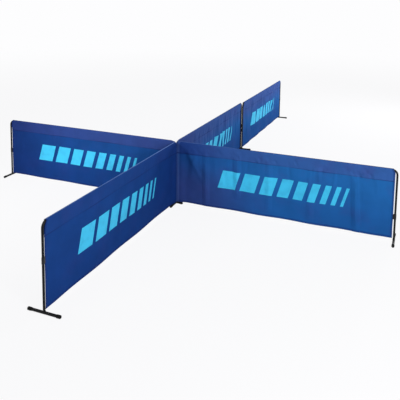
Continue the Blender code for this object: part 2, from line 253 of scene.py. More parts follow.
def beads_tree():
    """A node tree that sets small rounds along lines, all turned along the line."""
    tree = bpy.data.node_groups.new("beads along lines", 'GeometryNodeTree')
    tree.interface.new_socket("Lines", in_out='INPUT', socket_type='NodeSocketGeometry')
    tree.interface.new_socket("Beads", in_out='OUTPUT', socket_type='NodeSocketGeometry')
    for label, kind in (("Pitch", 'Float'), ("Size", 'Vector'), ("Facing", 'Vector'),
                        ("Unevenness", 'Float'), ("Seed", 'Int'), ("Finish", 'Material')):
        tree.interface.new_socket(label, in_out='INPUT', socket_type='NodeSocket' + kind)
    given = add_node(tree, 'NodeGroupInput').outputs
    line = add_node(tree, 'GeometryNodeMeshToCurve', {"Mesh": given["Lines"]})
    spaced = add_node(tree, 'GeometryNodeResampleCurve',
                      {"Curve": line.outputs[0], "Length": given["Pitch"]}, mode='LENGTH')
    along = add_node(tree, 'FunctionNodeAlignRotationToVector',
                     {"Vector": add_node(tree, 'GeometryNodeInputTangent').outputs[0]},
                     axis='X')
    turned = add_node(tree, 'FunctionNodeAlignRotationToVector',
                      {"Rotation": along.outputs[0], "Vector": given["Facing"]}, axis='Z',
                      pivot_axis='X')
    least = add_node(tree, 'ShaderNodeMath',
                     {0: 1.0, 1: given["Unevenness"]}, operation='SUBTRACT')
    drawn = add_node(tree, 'FunctionNodeRandomValue',
                     {2: least.outputs[0], 3: 1.0, "Seed": given["Seed"]})
    size = add_node(tree, 'ShaderNodeVectorMath',
                    {0: given["Size"], "Scale": drawn.outputs[1]}, operation='SCALE')
    bead = add_node(tree, 'GeometryNodeMeshIcoSphere', {"Radius": 0.5, "Subdivisions": 1})
    placed = add_node(tree, 'GeometryNodeInstanceOnPoints',
                      {"Points": spaced.outputs[0], "Instance": bead.outputs[0],
                       "Rotation": turned.outputs[0], "Scale": size.outputs[0]})
    real = add_node(tree, 'GeometryNodeRealizeInstances', {0: placed.outputs[0]})
    finished = add_node(tree, 'GeometryNodeSetMaterial',
                        {"Geometry": real.outputs[0], "Material": given["Finish"]})
    add_node(tree, 'NodeGroupOutput', {0: finished.outputs[0]})
    return tree


def lines_mesh(name, lines):
    """A mesh of bare edges through each line's points."""
    mesh = bpy.data.meshes.new(name)
    edges, first = [], 0
    for points in lines:
        edges += [(first + i, first + i + 1) for i in range(len(points) - 1)]
        first += len(points)
    mesh.from_pydata(np.concatenate(lines).tolist(), edges, [])
    return mesh


def beads_along(name, lines, **inputs):
    """A plain piece of beads along lines, with the node tree's named inputs."""
    piece = add_piece(name, lines_mesh(name, lines))
    modifier = piece.modifiers.new("beads", 'NODES')
    modifier.node_group = BEADS
    for socket in BEADS.interface.items_tree:
        if socket.in_out == 'INPUT' and socket.name in inputs:
            modifier[socket.identifier] = inputs[socket.name]
    evaluated = piece.evaluated_get(bpy.context.evaluated_depsgraph_get())
    mesh = bpy.data.meshes.new_from_object(evaluated)
    piece.modifiers.clear()
    piece.data = mesh
    mesh.shade_smooth()
    return piece


def weld_line(x, y, along_y):
    """Where an upright collar at x, y meets a bar of its own radius."""
    turns = np.linspace(0, 2 * pi, WELD_STEPS + 1)
    off, rise = BAR_RADIUS * np.cos(turns), BAR_RADIUS * np.sin(turns)
    across_bar = off if along_y else rise
    height = BAR_HEIGHT + np.sqrt(np.maximum(BAR_RADIUS ** 2 - across_bar ** 2, 0))
    return np.stack([x + off, y + rise, height], -1)


BEADS = beads_tree()
JOINTS = {joint["name"]: joint for joint in frame["joints"]}

# Welded posts of each foot: x, y, and whether their bar runs along Y
hub_posts = [JOINTS[name + "_panel_swing"]["pos_m"]
             for name in ("front", "left", "right", "back")]
joint_post = JOINTS["extension_panel_swing"]["pos_m"]
welds = {"hub_foot": [(x, y, abs(x) < BAR_RADIUS) for x, y, z in hub_posts],
         "back_panel": [(joint_post[0], joint_post[1], False), (0, joint_post[1], False)]}
for name in ("front", "left", "right", "extension"):
    x, y, z = JOINTS[name + "_foot_swivel"]["pos_m"]
    welds[name + "_foot"] = [(x, y, name in ("left", "right"))]
for body, posts in welds.items():
    weld = beads_along(body + "_weld_beads", [weld_line(*post) for post in posts],
                       Pitch=WELD_PITCH, Size=WELD_BEAD, Facing=(0, 0, 1),
                       Unevenness=WELD_UNEVENNESS, Seed=WELD_SEED, Finish=coat)
    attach(weld, body)


# End caps: black rubber, moulded in one piece and pushed onto the ends of every foot
# bar. They grip the floor, so their undersides and rims are scuffed grey.
RUBBER_BLACK = "#0E0E0E"
RUBBER_DUSTY = "#34332F"
RUBBER_GRAIN = 0.006
RUBBER_RELIEF = 0.0003
DUST_HEIGHT = 0.008

rubber, tree, shader = new_material("moulded black rubber", Roughness=0.75, IOR=1.52,
                                    Specular_IOR_Level=0.12)
place = add_node(tree, 'ShaderNodeTexCoord').outputs["Object"]
dust = add_node(tree, 'ShaderNodeTexNoise',
                {"Vector": place, "Scale": 1 / RUBBER_GRAIN, "Detail": 5})
low = add_node(tree, 'ShaderNodeSeparateXYZ', {0: place})
near_floor = add_node(tree, 'ShaderNodeMapRange',
                      {"Value": low.outputs["Z"], "From Min": DUST_HEIGHT, "From Max": 0})
dusty = add_node(tree, 'ShaderNodeMath',
                 {0: near_floor.outputs[0], 1: dust.outputs["Fac"]}, operation='MULTIPLY')
tint = add_node(tree, 'ShaderNodeMix',
                {0: dusty.outputs[0], 6: linear(RUBBER_BLACK), 7: linear(RUBBER_DUSTY)},
                data_type='RGBA')
tree.links.new(tint.outputs[2], shader.inputs["Base Color"])
relief = add_node(tree, 'ShaderNodeBump',
                  {"Height": dust.outputs["Fac"], "Strength": 0.2,
                   "Distance": RUBBER_RELIEF})
tree.links.new(relief.outputs[0], shader.inputs["Normal"])

for name, node in frame["nodes"].items():
    if "_cap_" in name:
        node.data.materials.clear()
        node.data.materials.append(rubber)


# Covers: one length of woven polyester per panel, hung over the top rail with its
# outer face to one side. The short flap behind is sewn through, so the top 13 cm is
# double. The foot edge has a turned hem, and the side edges are turned and stitched.

# Panels: the angle at which each runs out, and the side of it that its cloth faces
PANELS = {"front": (-pi / 2, 1), "left": (pi, 1), "right": (0, -1),
          "back": (pi / 2, -1), "extension": (pi / 2, -1)}

# Rail, cloth and hems, with heights from the floor
POST_SPACING = 2.310
TUBE_RADIUS = 0.010
RAIL_HEIGHT = 0.7176
WRAP_RADIUS = 0.0118
PANEL_HEIGHT = 0.730
CLOTH_THICKNESS = 0.0008
HEM_THICKNESS = 0.0020
HEM_HEIGHT = 0.030
HEM_TURN = 0.0016
BOTTOM_HEM = 0.024
SIDE_HEM = 0.018
STITCH_HEIGHT = 0.600
BAND_DEPTH = PANEL_HEIGHT - STITCH_HEIGHT
FLAP_MARGIN = 0.007
FLAP_GAP = 0.0016

# Side edges: how far they stand from the post's axis, down the post and at the corner
EDGE_INSET = 0.018
EDGE_SWAY = 0.001
CORNER_INSET = 0.036
CORNER_DEPTH = 0.050

# Hub ends: each laps past its post, which it passes on its own side. Its top corner
# droops, its free edge may flare, and its flap hangs open.
HUB_OVERLAPS = {"front": 0.012, "left": 0.012, "right": 0.024, "back": 0.012}
HUB_DROOP = 0.012
DROOP_REACH = 0.035
POST_PASS = 0.0132
POST_PASS_START = 0.020
POST_PASS_REACH = 0.080
OPEN_FLAP_REACH = 0.065
OPEN_FLAP_BLEND = 0.120
HUB_FLARES = {"front": 0.0012, "right": 0.0015}
FLARE_REACH = 0.034

# Ties: the height at which each panel's hold its side edges
TIE_HEIGHTS = {"front": 0.420, "left": 0.330, "right": 0.250, "back": 0.300,
               "extension": 0.365}
TIE_WIDTH = 0.050

# Main folds: depth, width and shift, as the solids have them
MAIN_FOLDS = {"front": (0.003, 0.74, 0.10), "left": (0.003, 0.62, 0.35),
              "right": (0.005, 0.57, 0.60), "back": (0.003, 0.46, 0.20),
              "extension": (0.003, 0.50, 0.75)}
FOLD_REACH = 0.260
FOLD_SPREAD = 0.3

# Swags: the place, reach and depth of a broad bulge under the band
SWAGS = {"right": [(0.170, 0.110, 0.012)]}

# Gathers under the rail: how many, their depth, the lowest that they reach, and their
# least and greatest half width
GATHERS = {"front": (8, 0.0016, 0.35, 0.014, 0.026),
           "left": (14, 0.0036, 0.35, 0.014, 0.030),
           "right": (14, 0.0050, 0.30, 0.014, 0.026),
           "back": (36, 0.0130, 0.20, 0.018, 0.034),
           "extension": (26, 0.0150, 0.22, 0.026, 0.046)}
GATHER_MARGINS = (0.06, 0.08)
GATHER_JITTER = 0.4
GATHER_TOPS = (0.60, 0.712)
GATHER_START = 0.70
GATHER_LEAST = 0.12
GATHER_LEAN = 0.012

# Short slanting wrinkles in the double band: how many, and their depth
WRINKLES = {"front": (10, 0.0025), "left": (14, 0.0035), "right": (24, 0.0085)}
WRINKLE_MARGINS = (0.08, 0.10)
WRINKLE_LOWS = (0.575, 0.64)
WRINKLE_RISES = (0.03, 0.07)
WRINKLE_LEANS = (0.010, 0.045)
WRINKLE_WIDTHS = (0.013, 0.024)

# Both are drawn in or out of the cloth, at this share of their depth
FOLD_SEED = 7
DEPTH_SHARES = (0.4, 1.0)

# The band's seam pulls the cloth in along a shallow groove. Its pull changes along x, at
# a pace that drifts: the drift's size and its own pace are given.
SEAM_GROOVE = {"front": 0.0014, "left": 0.0014, "right": 0.0018, "back": 0.0005,
               "extension": 0.0005}
GROOVE_REACH = 0.005
GROOVE_PULL = (0.65, 0.35)
GROOVE_DRIFT = (2, 5)
SEAM_PACE = 9

# Puckers: fine ripples beside the band's seam and the foot hem's, which drift likewise
# and are shifted along the one seam from the other
PUCKER_DEPTH = 0.0003
PUCKER_LENGTH = 0.013
PUCKER_REACH = 0.012
PUCKER_DRIFT = (3, 23)
PUCKER_SHIFT = 40

# Folds pressed in by packing: ends (x, z), depth, half width
PRESSED = {
    "front": [((1.210, 0.66), (1.215, 0.10), 0.0015, 0.030)],
    "left": [((1.62, 0.66), (1.62, 0.10), 0.0030, 0.034),
             ((0.62, 0.68), (0.61, 0.06), 0.0030, 0.034)],
    "right": [((0.325, 0.70), (0.335, 0.05), 0.0160, 0.056),
              ((0.685, 0.71), (0.692, 0.20), 0.0200, 0.056),
              ((1.040, 0.66), (1.045, 0.10), 0.0100, 0.050),
              ((1.480, 0.64), (1.485, 0.06), 0.0090, 0.050),
              ((1.915, 0.62), (1.950, 0.02), 0.0180, 0.056)],
    "back": [((0.50, 0.70), (0.50, 0.10), 0.0060, 0.040),
             ((1.35, 0.70), (1.36, 0.08), 0.0060, 0.040)],
    "extension": [((0.60, 0.70), (0.61, 0.08), 0.0060, 0.045),
                  ((1.70, 0.70), (1.70, 0.10), 0.0060, 0.045)],
}

# Drag lines beside the hub: ends (x, z), depth, half width
CREASES = {
    "front": [((0.060, 0.62), (0.200, 0.34), 0.0030, 0.024)],
    "left": [((0.070, 0.66), (0.180, 0.48), 0.0030, 0.022)],
    "right": [((0.080, 0.66), (0.300, 0.29), 0.0085, 0.030),
              ((0.120, 0.70), (0.235, 0.60), 0.0040, 0.018),
              ((0.215, 0.69), (0.235, 0.47), -0.0040, 0.020),
              ((0.130, 0.56), (0.110, 0.30), -0.0050, 0.030)],
    "back": [((0.070, 0.66), (0.180, 0.48), 0.0030, 0.022)],
}
LINE_FADE = 0.02

# The finer folds leave the cloth flat beside a hub post, an outer post and the rail
FLAT_ENDS = (0.035, 0.020)
FLAT_BLENDS = (0.045, 0.030)
RAIL_BLEND = 0.030

# Grid: columns close to the side edges, and rows close to the hems, seam and rail
COVER_COLUMNS = 400
EDGE_COLUMNS = (0, 0.002, 0.006, 0.012, SIDE_HEM - 0.001, SIDE_HEM + 0.001)
ROW_SPACING = 0.0095
HEM_ROWS = 6
HEM_EDGE = 0.002
HEM_STEP = 0.008
SEAM_ROWS = (-0.006, -0.003, 0, 0.003, 0.006)
SEAM_STEP = 0.014
TURN_ANGLES = (-150, -120, -90, -60, -30)
RAIL_ROWS = 11
FLAP_START = 0.006
FLAP_ROWS = 13
SHARP_ANGLE = radians(50)


def smooth_step(value):
    """A value held between nought and one, which it leaves and reaches softly."""
    value = np.clip(value, 0, 1)
    return value * value * (3 - 2 * value)


def in_world(name, x, y, z):
    """World points of a panel's own x, of y counted to the cloth's side, and of z."""
    turn, side = PANELS[name]
    start = JOINTS[name + "_panel_swing"]["pos_m"]
    y = y * side
    return np.stack([start[0] + x * cos(turn) - y * sin(turn),
                     start[1] + x * sin(turn) + y * cos(turn), z + 0 * x], -1)


def sin_between(value, low, high):
    """An arch from nought at low to one midway and nought at high."""
    return np.sin(pi * np.clip((value - low) / (high - low), 0, 1))


def edge_inset(name, z):
    """How far the cloth's side edge stands from the post's axis at height z."""
    tie_low = TIE_HEIGHTS[name] - TIE_WIDTH / 2
    tie_high = TIE_HEIGHTS[name] + TIE_WIDTH / 2
    corner_low = PANEL_HEIGHT - CORNER_DEPTH
    below = sin_between(z, HEM_HEIGHT, tie_low)
    above = sin_between(z, tie_high, corner_low)
    corner = smooth_step((z - corner_low) / CORNER_DEPTH)
    return EDGE_INSET + EDGE_SWAY * (below + above) + (CORNER_INSET - EDGE_INSET) * corner


def near_line(x, z, start, end):
    """The distance from a line, and a share that dies away at the line's ends."""
    dx, dz = end[0] - start[0], end[1] - start[1]
    along = ((x - start[0]) * dx + (z - start[1]) * dz) / (dx * dx + dz * dz)
    held = np.clip(along, 0, 1)
    away = np.hypot(x - start[0] - held * dx, z - start[1] - held * dz)
    return away, np.sqrt(sin_between(held, -LINE_FADE, 1 + LINE_FADE))


def ridge(x, z, start, end, depth, width):
    """A soft ridge along a line on the cloth."""
    away, share = near_line(x, z, start, end)
    return depth * np.exp(-(away / width) ** 2) * share


def tent(x, z, start, end, depth, width):
    """A pressed fold along a line: a sharper ridge between two flat flanks."""
    away, share = near_line(x, z, start, end)
    rise = np.clip(1 - away / width, 0, 1)
    return depth * rise * smooth_step(2 * rise) * share


def drawn_depth(draw, depth):
    """A share of a depth, in or out of the cloth."""
    return depth * draw.uniform(*DEPTH_SHARES) * draw.choice([-1, 1])


def gathers_of(name):
    """The gathers of a panel's cloth: pulled lines that start near the rail."""
    count, depth, lowest, least, greatest = GATHERS[name]
    draw = np.random.default_rng([FOLD_SEED, list(PANELS).index(name)])
    jitter = draw.uniform(-GATHER_JITTER, GATHER_JITTER, count)
    lines = []
    for place in (np.arange(count) + jitter) / count:
        x = GATHER_MARGINS[0] + (POST_SPACING - sum(GATHER_MARGINS)) * place
        top = draw.uniform(*GATHER_TOPS)
        low = top - draw.uniform(GATHER_LEAST, GATHER_START - lowest)
        lean = draw.normal(0, GATHER_LEAN)
        size = drawn_depth(draw, depth)
        lines.append(((x, top), (x + lean, low), size, draw.uniform(least, greatest)))
    return lines


def wrinkles_of(name):
    """The wrinkles of a panel's band: short lines that slant one way or the other."""
    count, depth = WRINKLES.get(name, (0, 0))
    draw = np.random.default_rng([FOLD_SEED, 1, list(PANELS).index(name)])
    lines = []
    for x in draw.uniform(WRINKLE_MARGINS[0], POST_SPACING - WRINKLE_MARGINS[1], count):
        low = draw.uniform(*WRINKLE_LOWS)
        top = low + draw.uniform(*WRINKLE_RISES)
        lean = draw.uniform(*WRINKLE_LEANS) * draw.choice([-1, 1])
        size = drawn_depth(draw, depth)
        lines.append(((x, top), (x + lean, low), size, draw.uniform(*WRINKLE_WIDTHS)))
    return lines


RIDGES = {name: CREASES.get(name, []) + gathers_of(name) + wrinkles_of(name)
          for name in PANELS}


def main_relief(name, x, z):
    """How far the broad folds stand out, which are stiff in the double band."""
    depth, width, shift = MAIN_FOLDS[name]
    ends = smooth_step(x / FOLD_REACH) * smooth_step((POST_SPACING - x) / FOLD_REACH)
    spread = 1 + FOLD_SPREAD * (1 - z / RAIL_HEIGHT) ** 2
    relief = depth * np.sin(2 * pi * (x / width + shift)) * ends * spread
    for place, reach, bulge in SWAGS.get(name, ()):
        swag = smooth_step(1 - np.abs(x - place) / reach)
        fade = smooth_step((z - HEM_HEIGHT) / (STITCH_HEIGHT - HEM_HEIGHT))
        relief = relief + bulge * swag * fade
    return relief * smooth_step((RAIL_HEIGHT - z) / BAND_DEPTH)


def fine_relief(name, x, z):
    """How far the gathers, wrinkles, pressed folds and seams stand out."""
    relief = sum(ridge(x, z, *line) for line in RIDGES[name])
    relief = relief + sum(tent(x, z, *line) for line in PRESSED[name])
    drift = PUCKER_DRIFT[0] * np.sin(PUCKER_DRIFT[1] * x)
    for seam in (STITCH_HEIGHT, HEM_HEIGHT + BOTTOM_HEM):
        ripple = np.sin(2 * pi * x / PUCKER_LENGTH + drift + PUCKER_SHIFT * seam)
        relief = relief + PUCKER_DEPTH * ripple * np.exp(-np.abs(z - seam) / PUCKER_REACH)
    drift = GROOVE_DRIFT[0] * np.sin(GROOVE_DRIFT[1] * x)
    pull = GROOVE_PULL[0] + GROOVE_PULL[1] * np.sin(SEAM_PACE * x + drift)
    groove = np.exp(-((z - STITCH_HEIGHT) / GROOVE_REACH) ** 2)
    relief = relief - SEAM_GROOVE[name] * pull * groove
    clear = (smooth_step((x - FLAT_ENDS[0]) / FLAT_BLENDS[0])
             * smooth_step((POST_SPACING - FLAT_ENDS[1] - x) / FLAT_BLENDS[1]))
    return relief * clear * smooth_step((RAIL_HEIGHT - z) / RAIL_BLEND)


def hanging_place(name, x, z):
    """How far the hanging layer stands from the plane of the posts.

    It comes in from the rail to its stitch line and hangs there between the posts.
    Beside the hub it passes the post on its own side, with its free edge flared.
    """
    drawn_in = np.minimum(1, (RAIL_HEIGHT - z) / (RAIL_HEIGHT - STITCH_HEIGHT))
    place = WRAP_RADIUS + (FLAP_GAP / 2 - WRAP_RADIUS) * drawn_in
    if name in HUB_OVERLAPS:
        past = smooth_step((x - POST_PASS_START) / POST_PASS_REACH)
        beside = WRAP_RADIUS + (POST_PASS - WRAP_RADIUS) * drawn_in
        flare = smooth_step(1 - (x + HUB_OVERLAPS[name]) / FLARE_REACH)
        beside = beside + HUB_FLARES.get(name, 0) * flare * drawn_in
        place = beside + (place - beside) * past
    return place + main_relief(name, x, z) + fine_relief(name, x, z)


def cover_rows():
    """Rows of a cover along its cut: the part that each is on, and its z or angle."""
    hem_top = HEM_HEIGHT + BOTTOM_HEM
    front = np.unique(np.round(np.concatenate([
        np.linspace(HEM_HEIGHT + HEM_TURN, hem_top + HEM_EDGE, HEM_ROWS),
        np.arange(hem_top + HEM_STEP, STITCH_HEIGHT + SEAM_ROWS[0], ROW_SPACING),
        STITCH_HEIGHT + np.array(SEAM_ROWS),
        np.arange(STITCH_HEIGHT + SEAM_STEP, RAIL_HEIGHT, ROW_SPACING)]), 5))
    flap = np.linspace(RAIL_HEIGHT - FLAP_START, STITCH_HEIGHT, FLAP_ROWS)
    rows = [("hem", z) for z in (hem_top, hem_top - HEM_STEP, HEM_HEIGHT + HEM_TURN)]
    rows += [("fold", angle) for angle in np.radians(TURN_ANGLES)]
    rows += [("front", z) for z in front]
    rows += [("rail", angle) for angle in np.linspace(0, pi, RAIL_ROWS)]
    rows += [("flap", z) for z in flap]
    rows += [("flap", STITCH_HEIGHT - FLAP_MARGIN * share) for share in (0.5, 1)]
    return rows


def cover_columns():
    """Columns of a cover: the offset from its near edge or far edge, and the share."""
    shares = np.linspace(0, 1, COVER_COLUMNS)
    near = [(offset, 0) for offset in EDGE_COLUMNS]
    middle = [(EDGE_COLUMNS[-1], share) for share in shares[1:-1]]
    return near + middle + [(-offset, 1) for offset in EDGE_COLUMNS[::-1]]


def cover_line(name, part, value, x):
    """Points (y, z) of one row of a cover at each x, and its length along the cut."""
    half = HEM_TURN / 2
    if part == "hem":
        return hanging_place(name, x, value) - HEM_TURN, value, 2 * HEM_HEIGHT - value
    if part == "fold":
        middle = hanging_place(name, x, HEM_HEIGHT + HEM_TURN) - half
        return (middle + half * cos(value), HEM_HEIGHT + HEM_TURN + half * sin(value),
                HEM_HEIGHT + half * (value + pi / 2))
    if part == "front":
        return hanging_place(name, x, value), value, value
    if part == "rail":
        return (WRAP_RADIUS * cos(value) + 0 * x, RAIL_HEIGHT + WRAP_RADIUS * sin(value),
                RAIL_HEIGHT + WRAP_RADIUS * value)
    shut = 1
    if name in HUB_OVERLAPS:
        shut = smooth_step((x - OPEN_FLAP_REACH) / OPEN_FLAP_BLEND)
    drop = min(1, (RAIL_HEIGHT - value) / (RAIL_HEIGHT - STITCH_HEIGHT))
    sewn = hanging_place(name, x, value) - FLAP_GAP
    hung = -WRAP_RADIUS * (1 - drop) + sewn * drop
    return (-WRAP_RADIUS + (hung + WRAP_RADIUS) * shut, value,
            RAIL_HEIGHT + pi * WRAP_RADIUS + RAIL_HEIGHT - value)


def cloth_ends(name, z):
    """The cloth's near and far edges at height z."""
    near = -HUB_OVERLAPS[name] if name in HUB_OVERLAPS else edge_inset(name, z)
    return near, POST_SPACING - edge_inset(name, z)


def sheet_mesh(name, mid, thickness, cut, **marks):
    """A closed sheet about a grid of points, with its cut as UV and marks by point."""
    along, up = np.gradient(mid, axis=0), np.gradient(mid, axis=1)
    normal = np.cross(along, up)
    normal /= np.linalg.norm(normal, axis=-1, keepdims=True)
    wall = normal * (thickness + np.zeros(mid.shape[:2]))[..., None] / 2
    columns, rows = mid.shape[:2]
    count = columns * rows
    grid = np.arange(count).reshape(columns, rows)
    rim = np.concatenate([grid[:, 0], grid[-1, 1:], grid[-2::-1, -1], grid[0, -2:0:-1]])
    after = np.roll(rim, -1)
    quads = np.stack([grid[:-1, :-1], grid[1:, :-1], grid[1:, 1:], grid[:-1, 1:]], -1)
    quads = quads.reshape(-1, 4)
    faces = np.concatenate([quads, quads[:, ::-1] + count,
                            np.stack([after, rim, rim + count, after + count], -1)])
    mesh = bpy.data.meshes.new(name)
    mesh.from_pydata(np.concatenate([(mid + wall).reshape(-1, 3),
                                     (mid - wall).reshape(-1, 3)]), [], faces.tolist())
    mesh.shade_smooth()
    mesh.set_sharp_from_angle(angle=SHARP_ANGLE)
    corners = np.zeros(len(mesh.loops), int)
    mesh.loops.foreach_get("vertex_index", corners)
    layer = mesh.uv_layers.new(name="cut")
    flat = np.tile(cut.reshape(-1, 2), (2, 1))[corners]
    layer.uv.foreach_set("vector", flat.astype(np.float32).ravel())
    for label, values in marks.items():
        mark = mesh.attributes.new(label, 'FLOAT', 'POINT')
        mark.data.foreach_set("value", np.tile(values.ravel(), 2).astype(np.float32))
    shape = bmesh.new()
    shape.from_mesh(mesh)
    bmesh.ops.recalc_face_normals(shape, faces=shape.faces)
    shape.to_mesh(mesh)
    shape.free()
    return mesh


# Painted light and shade: how brightly each cover is painted as lit at its hub end, a
# quarter and half way along, and at its outer end. Only a share of that is left at its foot,
# as painted shade, and less of it in the right cover's band beside the hub, as painted shade.
LIGHT_PLACES = (0, 0.25, 0.5, 1)
PAINTED_LIGHT_LEVELS = {"front": (0.00, 0.10, 0.15, 0.12), "left": (0.30, 0.34, 0.26, 0.08),
              "right": (0.26, 0.66, 1.00, 0.96), "back": (0.32, 0.60, 0.78, 0.90),
              "extension": (0.92, 0.88, 0.86, 0.92)}
FOOT_LIGHT_SHARES = {"front": 0.62, "left": 0.50, "right": 0.72, "back": 0.34,
               "extension": 0.42}
FOOT_SHADE_FADE = (0.15, 0.38)
HUB_BAND_SHADES = {"right": 0.9}
HUB_SHADE_REACH = 0.6
HUB_SHADE_BLEND = 0.02

# Greyness of the double band near the hub, at 0.6 m and at the outer end, which is painted
# shade for the light that comes through single cloth but not through two layers. Its lower
# edge is soft where a blend is given. The right cover is also greyer low beside the hub.
BAND_PLACES = (0.1, 0.6, 2.2)
BAND_SHARES = {"front": (0.04, 0.04, 0.04), "left": (0.36, 0.36, 0.22),
               "right": (0.08, 0.31, 0.31), "back": (0.40, 0.40, 0.40),
               "extension": (0.46, 0.46, 0.46)}
BAND_BLENDS = {"back": 0.220, "extension": 0.260}
SHARP_BLEND = 0.0001
HUB_GREYS = {"right": 0.33}
GREY_ENDS = (1.17, 0.60)
GREY_BLENDS = (0.90, 0.40)

# Painted light and shade, as a share to a painted highlight tint or, where negative, to a
# painted shade tint: on the crest over the rail (between two angles, by x), a painted
# highlight where the fold catches light from above and painted shade where it lies in shade,
# and on upright strips (from x, to x) beside a post, a painted highlight on the front and
# right covers' hub edges and a darker strip at the back cover's outer end. The left cover is
# painted darker outwards, as painted shade, and the band's seam lies in its own painted shade.
CREST = (1.2, 2.4)
CREST_LIGHT = {"front": ((0, 2.3), (0.8, 0.4)), "back": ((0, 2.3), (0.1, -0.3)),
              "right": ((0, 0.6, 0.9, 2.3), (0.4, 0.3, -0.6, -0.6)),
              "extension": ((0, 2.3), (-0.2, -0.2))}
EDGE_STRIPS = {"front": [(-0.013, -0.008, 0.40)], "right": [(-0.025, 0.012, 0.12)],
             "back": [(2.262, 2.340, -0.85)]}
OUTER_START = 1.4
OUTER_SHADES = {"left": 0.34}
SEAM_SHADE = 0.45
SEAM_SHADE_REACH = 0.005
SEAM_SHADE_PULL = (0.7, 0.3)
HEM_MARGIN = 0.001


def painted_light_level_of(name, x, z):
    """How brightly the cloth is painted as lit, as a share: painted light and shade."""
    bright = np.interp(x / POST_SPACING, LIGHT_PLACES, PAINTED_LIGHT_LEVELS[name])
    # Painted shade in the right cover's band beside the hub
    dull = HUB_BAND_SHADES.get(name, 0) * smooth_step(1 - x / HUB_SHADE_REACH)
    bright = bright * (1 - dull * smooth_step((z - STITCH_HEIGHT) / HUB_SHADE_BLEND + 1))
    # Painted shade towards the foot
    foot = FOOT_LIGHT_SHARES[name]
    return bright * (foot + (1 - foot) * smooth_step((z - FOOT_SHADE_FADE[0]) / FOOT_SHADE_FADE[1]))


def greyness_of(name, x, length):
    """How grey the cloth looks at a length along the cut, as a share."""
    share = np.interp(x, BAND_PLACES, BAND_SHARES[name])
    blend = BAND_BLENDS.get(name, SHARP_BLEND)
    double = share * smooth_step((length - STITCH_HEIGHT) / blend + 1)
    low_by_hub = (smooth_step((GREY_ENDS[0] - x) / GREY_BLENDS[0])
                  * smooth_step((GREY_ENDS[1] - length) / GREY_BLENDS[1]))
    return double + HUB_GREYS.get(name, 0) * low_by_hub


def painted_light_of(name, x, length, on_crest):
    """How much paler the cloth is painted above nought, mostly as painted highlight, and how
    much darker below it, mostly as painted shade.
    """
    worn = on_crest * np.interp(x, *CREST_LIGHT.get(name, ((0, 2.3), (0, 0))))
    outward = smooth_step((x - OUTER_START) / (POST_SPACING - OUTER_START))
    worn = worn - OUTER_SHADES.get(name, 0) * outward
    on_seam = np.abs(length - STITCH_HEIGHT) < SEAM_SHADE_REACH
    pull = SEAM_SHADE_PULL[0] + SEAM_SHADE_PULL[1] * np.sin(SEAM_PACE * x)
    worn = worn - SEAM_SHADE * on_seam * pull
    for start, end, share in EDGE_STRIPS.get(name, ()):
        worn = worn + share * ((x > start) & (x < end))
    return worn


def cover_mesh(name):
    """The cover as a grid: columns along the rail, rows from hem to flap."""
    offsets, shares = np.array(cover_columns()).T
    rows = cover_rows()
    points, flats, bright = [], [], []
    for part, value in rows:
        height = float(cover_line(name, part, value, np.zeros(1))[1])
        near, far = cloth_ends(name, height)
        x = near + (far - near) * shares + offsets * (1 - 2 * shares * (offsets > 0))
        y, z, length = cover_line(name, part, value, x)
        z = z + 0 * x
        if name in HUB_OVERLAPS:
            droop = HUB_DROOP * np.clip((DROOP_REACH - x)
                                        / (DROOP_REACH + HUB_OVERLAPS[name]), 0, 1)
            z = z - droop * max(0, height - STITCH_HEIGHT) / BAND_DEPTH
        points.append(in_world(name, x, y, z))
        flats.append(np.stack([x, length + 0 * x], -1))
        bright.append(painted_light_level_of(name, x, z))
    cut = np.stack(flats, 1)
    x, length = cut[..., 0], cut[..., 1]
    parts = np.array([part for part, value in rows])
    values = np.array([value for part, value in rows])
    at_edge = (shares == 0) | (shares == 1)
    side_hem = (at_edge & (np.abs(offsets) < SIDE_HEM))[:, None]
    doubled = side_hem & ~np.isin(parts, ("hem", "fold", "rail"))
    thickness = CLOTH_THICKNESS + (HEM_THICKNESS - CLOTH_THICKNESS) * doubled
    on_crest = (parts == "rail") & (values > CREST[0]) & (values < CREST[1])
    return sheet_mesh(name + "_cover", np.stack(points, 1), thickness, cut,
                      hem=side_hem | (length < HEM_HEIGHT + BOTTOM_HEM + HEM_MARGIN),
                      bright=np.stack(bright, 1), double=greyness_of(name, x, length),
                      worn=painted_light_of(name, x, length, on_crest))


# Woven polyester: a smooth, close plain weave with hardly any sheen. Its blue is painted
# from a shaded to a lit tint as painted light and shade. It looks clear blue in single cloth,
# and greyer and more violet in the double band at the top, which is painted shade: light
# comes through single cloth from behind but not through two layers.
# A lit and a shaded blue, for the painted light and shade on the cloth
CLOTH_LIT = "#2163A7"
CLOTH_SHADED = "#143576"
CLOTH_BAND = "#4C4B8A"
CLOTH_VIOLET = "#3A3A80"
# Hem blue: painted shade on the hems, and the tint that the thread fades to
CLOTH_HEM = "#162A66"
# Tints for the painted highlight and the painted shadow
CLOTH_HIGHLIGHT = "#7093D8"
CLOTH_SHADOW = "#141D52"
HEM_SHARE = 0.50

# Violet patches: how many a metre, how strong, and how much fainter on dark cloth
PATCHES_A_METRE = 3.5
PATCH_RANGE = (0.5, 0.8)
PATCH_SHARE = 0.5
PATCH_FADE = (0.65, 0.35)

# Clouds of lighter and darker dye
CLOUDS_A_METRE = 6
CLOUD_RANGE = (0.3, 0.7)
CLOUD_SHADES = (0.93, 1.07)

# The weave is drawn at 1.6 mm a thread, four times its real pitch, so that it shows
THREAD_PITCH = 0.0016
THREAD_RELIEF = 0.0002

cloth, tree, shader = new_material("woven blue polyester", Roughness=0.8, IOR=1.5,
                                   Specular_IOR_Level=0.04)
at = add_node(tree, 'ShaderNodeUVMap', uv_map="cut").outputs[0]
